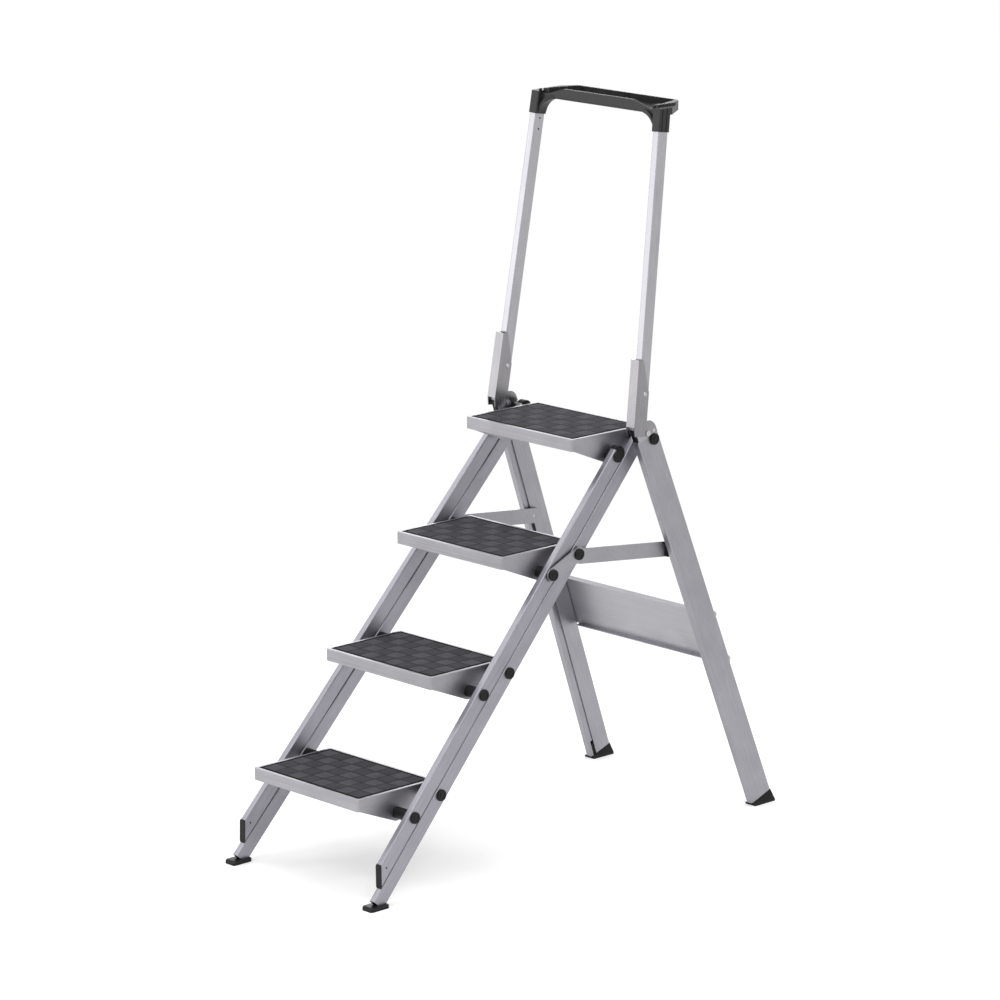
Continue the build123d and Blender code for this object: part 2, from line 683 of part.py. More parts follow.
# The slot opens into a channel that is shallow, except where the slider pins travel
channel_plane = Plane((leg_x(top_pivot), top_pivot.Y, top_pivot.Z), x_dir=leg_side, z_dir=leg_front)
channel_outer = LEG_WIDTH / 2 - LEG_WALL
channel_floor = CHANNEL_DEPTH - LEG_WIDTH / 2
channel_start = HEAD_TONGUE + CHANNEL_END - LEG_TOP
channel_stop = leg_length - PLUG_TONGUE - CHANNEL_END
pin_room_top = LINK_REACH - CHANNEL_ROOM
pin_room_end = LINK_REACH + CHANNEL_TRAVEL + CHANNEL_ROOM


def channel(margin):
    """Side outline of the pin channel, as seen along the leg's depth, grown by a margin."""
    slide = tan(radians(LEG_SPLAY)) * (pin_room_end - LINK_REACH)
    deep_x = min(channel_outer + margin, LEG_WIDTH / 2 - LEG_WALL / 2)
    end_x = channel_outer - slide + margin
    Polyline(
        (-LEG_WIDTH / 2, -channel_start),
        (channel_floor + margin, -channel_start),
        (channel_floor + margin, -pin_room_top + margin),
        (deep_x, -pin_room_top + margin),
        (deep_x, -LINK_REACH),
        (end_x, -pin_room_end),
        (end_x, -channel_stop),
        (-LEG_WIDTH / 2, -channel_stop),
        close=True,
    )


with BuildPart() as rear_leg:
    with BuildSketch(leg_plane(leg_head_point)):
        with Locations((0, leg_middle)):
            RectangleRounded(LEG_WIDTH, LEG_DEPTH, LEG_CORNER)
            Rectangle(LEG_WIDTH - 2 * LEG_WALL, LEG_DEPTH - 2 * LEG_WALL, mode=Mode.SUBTRACT)
        with Locations((-LEG_WIDTH / 2, -slot_front)):
            Rectangle(4 * LEG_WALL, SLOT_WIDTH, mode=Mode.SUBTRACT)
    extrude(amount=-(LEG_TOP + leg_length) / cos(radians(LEG_SPLAY)))
    with BuildSketch(channel_plane.offset(slot_front)):
        with BuildLine():
            channel(CHANNEL_WALL)
        make_face()
    extrude(amount=SLOT_WIDTH / 2 + CHANNEL_WALL, both=True)
    with BuildSketch(channel_plane.offset(slot_front)):
        with BuildLine():
            channel(0)
        make_face()
    extrude(amount=SLOT_WIDTH / 2, both=True, mode=Mode.SUBTRACT)
    bore([top_pivot], ROD_RADIUS + ROD_FIT)
    panel_bolt_places = [
        top_pivot + leg_down * (PANEL_TOP + PANEL_BOLT_INSET),
        top_pivot + leg_down * (PANEL_TOP + PANEL_HEIGHT - PANEL_BOLT_INSET),
    ]
    for place in panel_bolt_places:
        with BuildSketch(Plane((bolt_x(place), place.Y, place.Z), x_dir=SIDEWAYS, z_dir=-leg_front)):
            Circle(BOLT_RADIUS + ROD_FIT)
        extrude(amount=LEG_DEPTH, mode=Mode.SUBTRACT)
save_pair(rear_leg, "rear_leg")

# Leg heads: knuckles that plug the leg tops, carry the handrail hinges and stop the stop pins
leg_end = LEG_TOP - HINGE_UP
pad_front = LEG_FRONT - HINGE_FRONT
head_front = pad_front - HEAD_PAD
head_ledge_middle = leg_end + HEAD_LEDGE / 2
pad_bottom = leg_end + HEAD_LEDGE

with BuildPart() as leg_head:
    with BuildSketch(leg_head_plane):
        with BuildLine():
            Polyline(
                (0, leg_end),
                (head_front, leg_end),
                (head_front, HEAD_FACE_TOP),
                (HEAD_TOP_FRONT, HEAD_TOP),
                (HEAD_TOP_BACK, HEAD_TOP),
                (0, 0),
                close=True,
            )
        make_face()
        Circle(HEAD_RADIUS)
        make_hull()
        with Locations((0, leg_end - LEG_DEPTH / 2)):
            Rectangle(2 * LEG_DEPTH, LEG_DEPTH, mode=Mode.SUBTRACT)
        with Locations((pad_front - LEG_DEPTH / 2, head_ledge_middle)):
            Rectangle(LEG_DEPTH, HEAD_LEDGE)
    extrude(amount=LEG_WIDTH / 2, both=True)
    with BuildSketch(leg_plane(leg_head_point - leg_down * HEAD_LEDGE / 2)):
        with Locations((0, leg_middle)):
            Rectangle(LEG_WIDTH - 2 * LEG_WALL - 2 * TONGUE_FIT, LEG_DEPTH - 2 * LEG_WALL - 2 * TONGUE_FIT)
    extrude(amount=-HEAD_TONGUE)
    bore([top_pivot, hinge], ROD_RADIUS + ROD_FIT)
save_pair(leg_head, "leg_head")

# Black pads on the front faces of the leg heads
with BuildPart() as head_pads:
    with BuildSketch(leg_head_plane):
        with Locations((pad_front - HEAD_PAD / 2, (pad_bottom + HEAD_FACE_TOP) / 2)):
            Rectangle(HEAD_PAD, HEAD_FACE_TOP - pad_bottom)
    extrude(amount=HEAD_PAD_WIDTH / 2, both=True)
    mirror(about=Plane.YZ)
save(head_pads, "head_pads")

# Rear feet: wedges that flare from the square-cut leg to a flat sole, with a tongue up the leg
sole_front_y = top_pivot.Y + top_pivot.Z / tan(radians(LEG_ANGLE)) - LEG_FRONT / sin(radians(LEG_ANGLE))
sole_length = LEG_DEPTH / sin(radians(LEG_ANGLE)) - REAR_SOLE_TOE_INSET - REAR_SOLE_HEEL_INSET
sole_middle_y = sole_front_y + REAR_SOLE_TOE_INSET + sole_length / 2
rear_foot_x = leg_x(top_pivot + leg_down * (top_pivot.Z / -leg_down.Z))

with BuildPart() as rear_foot:
    with BuildSketch(Plane.XY.offset(REAR_SOLE_HEIGHT)):
        with Locations((rear_foot_x, sole_middle_y)):
            Rectangle(REAR_SOLE_WIDTH, sole_length)
    with BuildSketch(leg_plane(leg_foot_point)):
        with Locations((0, leg_middle)):
            Rectangle(LEG_WIDTH, LEG_DEPTH)
    loft(ruled=True)
    with BuildSketch():
        with Locations((rear_foot_x, sole_middle_y)):
            Rectangle(REAR_SOLE_WIDTH, sole_length)
    extrude(amount=REAR_SOLE_HEIGHT)
    with BuildSketch(leg_plane(leg_foot_point)):
        with Locations((0, leg_middle)):
            Rectangle(LEG_WIDTH - 2 * LEG_WALL - 2 * TONGUE_FIT, LEG_DEPTH - 2 * LEG_WALL - 2 * TONGUE_FIT)
    extrude(amount=PLUG_TONGUE)
save_pair(rear_foot, "rear_foot")

# Cross panel on the rear faces of the legs, with a hem along its top and bottom edges
panel_back = LEG_DEPTH - LEG_FRONT
panel_top_point = top_pivot + leg_down * PANEL_TOP
panel_bottom_point = top_pivot + leg_down * (PANEL_TOP + PANEL_HEIGHT)
panel_origin = top_pivot - leg_front * panel_back
panel_plane = Plane((0, panel_origin.Y, panel_origin.Z), x_dir=SIDEWAYS, z_dir=-leg_front)
panel_top_x = leg_x(panel_top_point) + LEG_WIDTH / 2 - PANEL_SIDE_INSET
panel_bottom_x = leg_x(panel_bottom_point) + LEG_WIDTH / 2 - PANEL_SIDE_INSET
hem_top_x = leg_x(panel_top_point) - LEG_WIDTH
hem_bottom_x = leg_x(panel_bottom_point) - LEG_WIDTH

with BuildPart() as cross_panel:
    with BuildSketch(panel_plane):
        with BuildLine():
            Polyline(
                (-panel_top_x, PANEL_TOP),
                (panel_top_x, PANEL_TOP),
                (panel_bottom_x, PANEL_TOP + PANEL_HEIGHT),
                (-panel_bottom_x, PANEL_TOP + PANEL_HEIGHT),
                close=True,
            )
        make_face()
    extrude(amount=PANEL_SHEET)
    with BuildSketch(panel_plane):
        with Locations((0, PANEL_TOP + PANEL_SHEET / 2)):
            Rectangle(2 * hem_top_x, PANEL_SHEET)
        with Locations((0, PANEL_TOP + PANEL_HEIGHT - PANEL_SHEET / 2)):
            Rectangle(2 * hem_bottom_x, PANEL_SHEET)
    extrude(amount=-PANEL_HEM)
    for place in panel_bolt_places:
        for side in (1, -1):
            bolt_origin = (side * bolt_x(place), place.Y, place.Z)
            with BuildSketch(Plane(bolt_origin, x_dir=SIDEWAYS, z_dir=-leg_front)):
                Circle(BOLT_RADIUS + ROD_FIT)
            extrude(amount=LEG_DEPTH, mode=Mode.SUBTRACT)
save(cross_panel, "cross_panel")

with BuildPart() as panel_bolts:
    for place in panel_bolt_places:
        seat = place - leg_front * (panel_back + PANEL_SHEET)
        with BuildSketch(Plane((bolt_x(place), seat.Y, seat.Z), x_dir=SIDEWAYS, z_dir=-leg_front)):
            Circle(BOLT_HEAD_RADIUS)
        extrude(amount=BOLT_HEAD_HEIGHT, taper=BOLT_HEAD_TAPER)
        with BuildSketch(Plane((bolt_x(place), seat.Y, seat.Z), x_dir=SIDEWAYS, z_dir=-leg_front)):
            Circle(BOLT_RADIUS)
        extrude(amount=-BOLT_LENGTH)
    mirror(about=Plane.YZ)
save(panel_bolts, "panel_bolts")

# Handrail brackets: channels that straddle the leg heads and hold the posts
bracket_half = BRACKET_GAP / 2 + BRACKET_SHEET
web_back = WEB_FRONT - WEB_SHEET
rivet_place = (TUBE_FRONT - TUBE_DEPTH / 2, RIVET_UP)
open_angle = radians(180 - LEG_ANGLE - HANDRAIL_ANGLE)
stop_seat = leg_end + HEAD_LEDGE + STOP_PIN_RADIUS + MOVING_GAP
stop_place = (-STOP_PIN_BACK, (stop_seat + STOP_PIN_BACK * sin(open_angle)) / cos(open_angle))

with BuildPart() as bracket:
    with BuildSketch(bracket_plane):
        Circle(BRACKET_LOBE)
        with BuildLine():
            Polyline(
                (-BRACKET_LOBE_BACK, BRACKET_LOBE_UP),
                (-BRACKET_UNDER_BACK, -BRACKET_UNDER),
                (BRACKET_TOE, -BRACKET_UNDER),
                (WEB_FRONT, WEB_BOTTOM),
                (WEB_FRONT, BRACKET_LOBE),
                (-BRACKET_LOBE, BRACKET_LOBE),
                (-BRACKET_LOBE, BRACKET_LOBE_UP),
                close=True,
            )
        make_face(mode=Mode.INTERSECT)
        with BuildLine():
            Polyline(
                (-BRACKET_UNDER_BACK, -BRACKET_UNDER),
                (BRACKET_TOE, -BRACKET_UNDER),
                (WEB_FRONT, WEB_BOTTOM),
                (WEB_FRONT, BRACKET_TOP),
                (WEB_FRONT - BRACKET_TOP_DEPTH, BRACKET_TOP),
                (BRACKET_BACK, BRACKET_BACK_TOP),
                (BRACKET_BACK, 0),
                close=True,
            )
        make_face()
    extrude(amount=bracket_half, both=True)
    with BuildSketch(bracket_plane):
        with Locations((web_back - BRACKET_TOP / 2, BRACKET_TOP / 2)):
            Rectangle(BRACKET_TOP, 2 * BRACKET_TOP)
        with Locations((WEB_FRONT, WEB_BOTTOM - BRACKET_TOP / 2)):
            Rectangle(2 * WEB_FRONT, BRACKET_TOP)
    extrude(amount=BRACKET_GAP / 2, both=True, mode=Mode.SUBTRACT)
    with BuildSketch(bracket_plane):
        with Locations(rivet_place):
            Circle(RIVET_RADIUS + ROD_FIT)
        with Locations(stop_place):
            Circle(STOP_PIN_RADIUS + ROD_FIT)
    extrude(amount=bracket_half, both=True, mode=Mode.SUBTRACT)
    bore([hinge], ROD_RADIUS + ROD_FIT)
save_pair(bracket, "handrail_bracket")

# Hinge pins along X with a head outside each flange, stop pins between the flanges
hinge_lean = tan(radians(HANDRAIL_TILT)) * HINGE_HEAD_RADIUS
hinge_half = bracket_half / cos(radians(HANDRAIL_TILT)) + hinge_lean + TONGUE_FIT

with BuildPart() as hinge_pins:
    with BuildSketch(Plane.YZ.offset(leg_x(hinge))):
        with Locations((hinge.Y, hinge.Z)):
            Circle(ROD_RADIUS)
    extrude(amount=hinge_half, both=True)
    for side in (1, -1):
        with BuildSketch(Plane.YZ.offset(leg_x(hinge) + side * hinge_half)):
            with Locations((hinge.Y, hinge.Z)):
                Circle(HINGE_HEAD_RADIUS)
        extrude(amount=side * HINGE_HEAD_HEIGHT)
    mirror(about=Plane.YZ)
save(hinge_pins, "handrail_hinge_pins")

with BuildPart() as stop_pins:
    with BuildSketch(bracket_plane):
        with Locations(stop_place):
            Circle(STOP_PIN_RADIUS)
    extrude(amount=bracket_half, both=True)
    mirror(about=Plane.YZ)
save(stop_pins, "handrail_stop_pins")

with BuildPart() as bracket_rivets:
    with BuildSketch(bracket_plane):
        with Locations(rivet_place):
            Circle(RIVET_RADIUS)
    extrude(amount=bracket_half, both=True)
    for side in (1, -1):
        with BuildSketch(bracket_plane.offset(side * bracket_half)):
            with Locations(rivet_place):
                Circle(RIVET_HEAD_RADIUS)
        extrude(amount=side * RIVET_HEAD_HEIGHT, taper=RIVET_HEAD_TAPER)
    mirror(about=Plane.YZ)
save(bracket_rivets, "bracket_rivets")

# Handrail tubes stand in the brackets and end inside the tray's sockets
tube_top = TUBE_BOTTOM + TUBE_LENGTH
socket_low = tube_top - SOCKET_DEPTH
screw_up = socket_low + TRAY_SCREW_UP
screw_origin = post_plane(screw_up).origin
screw_plane = Plane(screw_origin, x_dir=post_side, z_dir=-post_front)
socket_back = TUBE_FRONT - TUBE_DEPTH - SOCKET_WALL

with BuildPart() as tube:
    with BuildSketch(post_plane(TUBE_BOTTOM)):
        with Locations((0, post_middle)):
            RectangleRounded(TUBE_WIDTH, TUBE_DEPTH, TUBE_CORNER)
            RectangleRounded(
                TUBE_WIDTH - 2 * TUBE_WALL,
                TUBE_DEPTH - 2 * TUBE_WALL,
                TUBE_CORNER - TUBE_WALL,
                mode=Mode.SUBTRACT,
            )
    extrude(amount=TUBE_LENGTH)
    with BuildSketch(bracket_plane):
        with Locations(rivet_place):
            Circle(RIVET_RADIUS + ROD_FIT)
    extrude(amount=TUBE_WIDTH, both=True, mode=Mode.SUBTRACT)
    with BuildSketch(bracket_plane):
        with Locations(*[(rivet_place[0], socket_low - drop) for drop in TUBE_HOLE_DROPS]):
            Circle(TUBE_HOLE_RADIUS)
    extrude(amount=TUBE_WIDTH, mode=Mode.SUBTRACT)
    with BuildSketch(screw_plane.offset(-TUBE_FRONT + TUBE_DEPTH / 2)):
        Circle(TRAY_SCREW_RADIUS + ROD_FIT)
    extrude(amount=TUBE_DEPTH, mode=Mode.SUBTRACT)
save_pair(tube, "handrail_tube")

# Tool tray: a tapered tray with a well, sockets over the tube ends and braces in the corners
tube_end = post_plane(tube_top).origin
tray_top_z = tube_end.Z + TRAY_LID
tray_end_x = tube_end.X + TRAY_END
tray_rear_x = tray_end_x - TRAY_END_TAPER
tray_well_x = tray_end_x - TRAY_END_RIM
tray_bottom_z = tray_top_z - TRAY_HEIGHT
tray_plane = Plane((0, tube_end.Y, tray_top_z), z_dir=(0, 0, 1))
brace_back_y = tube_end.Y - TRAY_FRONT + BRACE_THICKNESS
brace_plane = Plane((0, brace_back_y, tray_bottom_z), x_dir=SIDEWAYS, z_dir=(0, -1, 0))
socket_width = TUBE_WIDTH + 2 * SOCKET_WALL
socket_depth = TUBE_DEPTH + 2 * SOCKET_WALL
brace_x = post_plane(socket_low).origin.X - socket_width / 2
brace_middle = (brace_x - BRACE_REACH / 2 + BRACE_BULGE, -BRACE_DROP / 2 + BRACE_BULGE)
rib_middle = (brace_middle[0], brace_middle[1] + BRACE_RIB)
rib_start = Vector(brace_x - BRACE_REACH, tube_end.Y - TRAY_FRONT, tray_bottom_z)
rib_face = Plane(rib_start, x_dir=(0, 0, 1), z_dir=(-BRACE_RIB_DEPTH, -BRACE_REACH, 0))
end_block_x = tube_end.X - socket_width / 2
front_wall_x = end_block_x - NOTCH_REACH
tray_face = Plane((0, tube_end.Y - TRAY_FRONT, tray_top_z), x_dir=SIDEWAYS, z_dir=(0, -1, 0))

with BuildPart() as brace_rib:
    with BuildSketch(brace_plane.offset(BRACE_THICKNESS)):
        with BuildLine():
            ThreePointArc((brace_x - BRACE_REACH, 0), brace_middle, (brace_x, -BRACE_DROP))
            Polyline(
                (brace_x, -BRACE_DROP),
                (brace_x + SOCKET_WALL, -BRACE_DROP),
                (brace_x + SOCKET_WALL, BRACE_RIB - BRACE_DROP),
                (brace_x, BRACE_RIB - BRACE_DROP),
            )
            ThreePointArc((brace_x, BRACE_RIB - BRACE_DROP), rib_middle, (brace_x - BRACE_REACH, BRACE_RIB))
            Line((brace_x - BRACE_REACH, BRACE_RIB), (brace_x - BRACE_REACH, 0))
        make_face()
    extrude(amount=BRACE_RIB_DEPTH)
    split(bisect_by=rib_face, keep=Keep.BOTTOM)

with BuildPart() as tray:
    with BuildSketch(tray_plane) as plan:
        with BuildLine():
            Polyline(
                (-tray_end_x, -TRAY_FRONT),
                (tray_end_x, -TRAY_FRONT),
                (tray_end_x, TRAY_END_REAR),
                (tray_rear_x, TRAY_REAR),
                (-tray_rear_x, TRAY_REAR),
                (-tray_end_x, TRAY_END_REAR),
                close=True,
            )
        make_face()
        fillet(plan.vertices().group_by(Axis.Y)[-1], radius=TRAY_REAR_CORNER)
    extrude(amount=-TRAY_HEIGHT)
    fillet(tray.faces().sort_by(Axis.Z)[-1].edges(), radius=TRAY_EDGE)
    fillet(tray.faces().sort_by(Axis.Z)[0].edges().sort_by(Axis.Y)[0], radius=TRAY_BELLY)
    with BuildSketch(brace_plane):
        with BuildLine():
            Polyline(
                (brace_x, -BRACE_DROP),
                (brace_x + SOCKET_WALL, -BRACE_DROP),
                (brace_x + SOCKET_WALL, TRAY_FLOOR),
                (brace_x - BRACE_REACH, TRAY_FLOOR),
                (brace_x - BRACE_REACH, 0),
            )
            ThreePointArc((brace_x - BRACE_REACH, 0), brace_middle, (brace_x, -BRACE_DROP))
        make_face()
    extrude(amount=BRACE_THICKNESS)
    add(brace_rib.part)
    with BuildSketch(post_plane(socket_low)):
        with Locations((0, post_middle)):
            RectangleRounded(socket_width, socket_depth, TUBE_CORNER)
        with Locations((socket_width / 2, post_middle)):
            with GridLocations(0, SOCKET_RIDGE_PITCH, 1, 2):
                Rectangle(2 * SOCKET_RIDGE, SOCKET_RIDGE_WIDTH)
    extrude(amount=SOCKET_DEPTH + 2 * TRAY_LID)
    mirror(about=Plane.YZ)
    split(bisect_by=tray_plane, keep=Keep.BOTTOM)
    with BuildSketch(tray_face):
        with BuildLine():
            Polyline(
                (-front_wall_x, -2 * TRAY_EDGE),
                (-front_wall_x, 0),
                (-front_wall_x + TRAY_FRONT_RAMP, TRAY_FRONT_RISE),
                (front_wall_x - TRAY_FRONT_RAMP, TRAY_FRONT_RISE),
                (front_wall_x, 0),
                (front_wall_x, -2 * TRAY_EDGE),
                close=True,
            )
        make_face()
    extrude(amount=-TRAY_RIM)
    with BuildSketch(tray_plane) as well:
        with BuildLine():
            Polyline(
                (-tray_well_x, TRAY_RIM - TRAY_FRONT),
                (tray_well_x, TRAY_RIM - TRAY_FRONT),
                (tray_well_x, TRAY_END_REAR),
                (tray_rear_x - TRAY_RIM, TRAY_REAR - TRAY_RIM),
                (-tray_rear_x + TRAY_RIM, TRAY_REAR - TRAY_RIM),
                (-tray_well_x, TRAY_END_REAR),
                close=True,
            )
        make_face()
        fillet(well.vertices(), radius=TRAY_WELL_CORNER)
    extrude(amount=TRAY_FLOOR - TRAY_HEIGHT, mode=Mode.SUBTRACT)
    with BuildSketch(tray_plane):
        with Locations((end_block_x + TRAY_REAR / 2, 0)):
            Rectangle(TRAY_REAR, 2 * TRAY_REAR)
    end_cut = extrude(amount=-TRAY_END_DROP, mode=Mode.SUBTRACT)
    mirror(end_cut, about=Plane.YZ, mode=Mode.SUBTRACT)
    with BuildSketch(tray_face):
        with BuildLine():
            Polyline(
                (end_block_x, 0),
                (end_block_x, -NOTCH_DROP),
                (end_block_x - NOTCH_FLAT, -NOTCH_DROP),
                (front_wall_x, 0),
                close=True,
            )
        make_face()
    notch = extrude(amount=-TRAY_RIM, mode=Mode.SUBTRACT)
    mirror(notch, about=Plane.YZ, mode=Mode.SUBTRACT)
    with BuildSketch(post_plane(socket_low)):
        with Locations((0, post_middle)):
            RectangleRounded(TUBE_WIDTH + 2 * TONGUE_FIT, TUBE_DEPTH + 2 * TONGUE_FIT, TUBE_CORNER)
    tube_hole = extrude(amount=SOCKET_DEPTH + TONGUE_FIT, mode=Mode.SUBTRACT)
    mirror(tube_hole, about=Plane.YZ, mode=Mode.SUBTRACT)
    with BuildSketch(screw_plane.offset(-TUBE_FRONT + TUBE_DEPTH / 2)):
        Circle(TRAY_SCREW_RADIUS + ROD_FIT)
    screw_hole = extrude(amount=TUBE_DEPTH, mode=Mode.SUBTRACT)
    mirror(screw_hole, about=Plane.YZ, mode=Mode.SUBTRACT)
save(tray, "tool_tray")

with BuildPart() as tray_screws:
    with BuildSketch(screw_plane.offset(-socket_back)):
        Circle(TRAY_SCREW_HEAD)
    extrude(amount=TRAY_SCREW_HEAD_HEIGHT, taper=TRAY_SCREW_HEAD_TAPER)
    with BuildSketch(screw_plane.offset(-socket_back)):
        Circle(TRAY_SCREW_RADIUS)
    extrude(amount=-TRAY_SCREW_LENGTH)
    mirror(about=Plane.YZ)
save(tray_screws, "tray_screws")
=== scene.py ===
import json
from math import atan2, cos, degrees, radians, sin

import bmesh
import bpy
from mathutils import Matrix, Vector


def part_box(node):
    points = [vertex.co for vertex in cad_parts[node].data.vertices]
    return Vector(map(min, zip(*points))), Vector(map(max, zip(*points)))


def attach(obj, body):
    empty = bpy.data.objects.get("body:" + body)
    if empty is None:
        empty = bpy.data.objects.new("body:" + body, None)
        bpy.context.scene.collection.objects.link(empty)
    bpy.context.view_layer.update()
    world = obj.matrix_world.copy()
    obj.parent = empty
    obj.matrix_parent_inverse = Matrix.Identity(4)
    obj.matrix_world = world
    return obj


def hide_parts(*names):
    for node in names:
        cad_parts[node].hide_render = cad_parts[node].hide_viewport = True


# Folding step stool: materials, ribbed mats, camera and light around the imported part, in metres

STEP_COUNT = 4

# Camera at the photograph's view: angles in degrees, lens and sensor in millimetres
CAMERA_PLACE = (7.18912, -6.87257, 3.12963)
CAMERA_AZIMUTH = 46.2924
CAMERA_ELEVATION = 13.3746
CAMERA_LENS = 165.68
CAMERA_SENSOR = 36.0
CAMERA_NEAR = 0.1
CAMERA_FAR = 100.0

# Lean of each family of tubes from upright, towards the rear, in degrees: the metal's grain follows it
STEP_RUN = 0.2133
STEP_RISE = 0.23
RAIL_LEAN = degrees(atan2(STEP_RUN, STEP_RISE))
LEG_LEAN = -20.96
POST_LEAN = 7.95

# Unevenness of all noise textures
NOISE_ROUGHNESS = 0.55

# Brushed metal: size of its streaks, detail and scale of its noise, shares of the tone, bump and roughness
GRAIN_WIDTH = 0.0022
GRAIN_LENGTH = 0.3
STREAK_DETAIL = 4.0
METAL_CLOUD_DETAIL = 2.0
METAL_CLOUD_SCALE = 14.0
STREAK_SHARE = 0.65
CLOUD_SHARE = 0.35
METAL_STOPS = (0.25, 0.75)
METAL_BUMP = 0.06
METAL_BUMP_DEPTH = 0.0004
BRUSHED = (0.36, 0.5)
SMOOTH = (0.22, 0.34)

# Plastic and rubber: detail and scale of their noise, bump and roughness
GRAIN_DETAIL = 2.0
PLASTIC_GRAIN = 1400.0
RUBBER_GRAIN = 900.0
MOULD_CLOUD_DETAIL = 3.0
MOULD_CLOUD_SCALE = 35.0
MOULD_STOPS = (0.3, 0.7)
MOULD_BUMP_DEPTH = 0.0003
SATIN = (0.34, 0.46)
MATT = (0.7, 0.85)
DULL = (0.75, 0.9)

# Blue of the dark greys over their red and green
GREY_BLUE = 1.1

# Mats
MAT_COLUMNS = 8
MAT_ROWS = 5
MAT_CORNER = 0.004
CORNER_POINTS = 6
QUARTER_TURN = 90
TILE_BORDER = 0.007
TILE_GROOVE = 0.0024
RIBS_PER_TILE = 7
RIB_HEIGHT = 0.0011
RIB_SUNK = 0.0004
RIB_SHOULDER = 0.0006
RIB_FILL = 0.72

# Places of the mat's three tones of one rubber among its materials: the grooves in painted shade,
# crosswise ribs painted lighter and lengthwise ribs painted darker
GROOVE_TONE = 0
CROSS_TONE = 1
LONG_TONE = 2

# Floor and backdrop
WHITE = (1.0, 1.0, 1.0, 1.0)
FLOOR_HALF = 6.0
FLOOR_COLOUR = (0.93, 0.93, 0.93, 1.0)
FLOOR_ROUGHNESS = 0.9
FLOOR_GLOW = 0.2
FADE_START = 0.9
FADE_END = 3.2
WORLD_FILL = 0.7
WORLD_SEEN = 1.0

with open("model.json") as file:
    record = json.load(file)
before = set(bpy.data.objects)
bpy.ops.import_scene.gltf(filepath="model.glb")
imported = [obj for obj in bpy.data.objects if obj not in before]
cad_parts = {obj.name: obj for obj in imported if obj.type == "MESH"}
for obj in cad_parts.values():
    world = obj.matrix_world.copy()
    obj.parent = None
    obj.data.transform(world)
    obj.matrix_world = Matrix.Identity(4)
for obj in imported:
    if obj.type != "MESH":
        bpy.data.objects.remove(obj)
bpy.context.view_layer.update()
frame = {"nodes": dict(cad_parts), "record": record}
nodes = frame["nodes"]
bodies = frame["record"]["behaviour"]["bodies"]
body_of_node = {node: body for body, members in bodies.items() for node in members}


def add_node(tree, kind, **settings):
    """A new shader node with its settings."""
    node = tree.nodes.new(kind)
    for key, value in settings.items():
        setattr(node, key, value)
    return node


def new_material(name):
    """A node material with its tree and its shader."""
    material = bpy.data.materials.new(name)
    material.use_nodes = True
    tree = material.node_tree
    return material, tree, tree.nodes["Principled BSDF"]


def object_place(tree):
    """The place of a point in its object's own space."""
    return add_node(tree, "ShaderNodeTexCoord").outputs["Object"]


def noise(tree, vector, detail, scale=1.0):
    """A noise texture on a vector socket."""
    texture = add_node(tree, "ShaderNodeTexNoise")
    texture.inputs["Scale"].default_value = scale
    texture.inputs["Detail"].default_value = detail
    texture.inputs["Roughness"].default_value = NOISE_ROUGHNESS
    tree.links.new(vector, texture.inputs["Vector"])
    return texture.outputs["Fac"]


def ramp(tree, value, places, colours):
    """A colour ramp over a value, with one colour at each place."""
    node = add_node(tree, "ShaderNodeValToRGB")
    for element, place, colour in zip(node.color_ramp.elements, places, colours):
        element.position = place
        element.color = (*colour, 1.0)
    tree.links.new(value, node.inputs["Fac"])
    return node.outputs["Color"]


def spread(tree, value, low, high):
    """A value from 0 to 1 spread between two numbers."""
    node = add_node(tree, "ShaderNodeMapRange")
    node.inputs["To Min"].default_value = low
    node.inputs["To Max"].default_value = high
    tree.links.new(value, node.inputs["Value"])
    return node.outputs["Result"]


def bump(tree, shader, height, strength, depth):
    """A bump on the shader's normal."""
    node = add_node(tree, "ShaderNodeBump")
    node.inputs["Strength"].default_value = strength
    node.inputs["Distance"].default_value = depth
    tree.links.new(height, node.inputs["Height"])
    tree.links.new(node.outputs["Normal"], shader.inputs["Normal"])


def brushed_metal(name, dark, light, lean=None, roughness=BRUSHED):
    """Drawn aluminium: streaks along a tube that leans by an angle, or along X, and faint clouds."""
    material, tree, shader = new_material(name)
    place = object_place(tree)
    along = add_node(tree, "ShaderNodeMapping", vector_type="TEXTURE")
    if lean is None:
        along.inputs["Scale"].default_value = (GRAIN_LENGTH, GRAIN_WIDTH, GRAIN_WIDTH)
    else:
        along.inputs["Rotation"].default_value = (-radians(lean), 0.0, 0.0)
        along.inputs["Scale"].default_value = (GRAIN_WIDTH, GRAIN_WIDTH, GRAIN_LENGTH)
    tree.links.new(place, along.inputs["Vector"])
    streaks = noise(tree, along.outputs["Vector"], STREAK_DETAIL)
    clouds = noise(tree, place, METAL_CLOUD_DETAIL, METAL_CLOUD_SCALE)
    streak_part = add_node(tree, "ShaderNodeMath", operation="MULTIPLY")
    streak_part.inputs[1].default_value = STREAK_SHARE
    tree.links.new(streaks, streak_part.inputs[0])
    tone = add_node(tree, "ShaderNodeMath", operation="MULTIPLY_ADD")
    tone.inputs[1].default_value = CLOUD_SHARE
    tree.links.new(clouds, tone.inputs[0])
    tree.links.new(streak_part.outputs["Value"], tone.inputs[2])
    colour = ramp(tree, tone.outputs["Value"], METAL_STOPS, (dark, light))
    tree.links.new(colour, shader.inputs["Base Color"])
    tree.links.new(spread(tree, streaks, *roughness), shader.inputs["Roughness"])
    shader.inputs["Metallic"].default_value = 1.0
    bump(tree, shader, streaks, METAL_BUMP, METAL_BUMP_DEPTH)
    return material


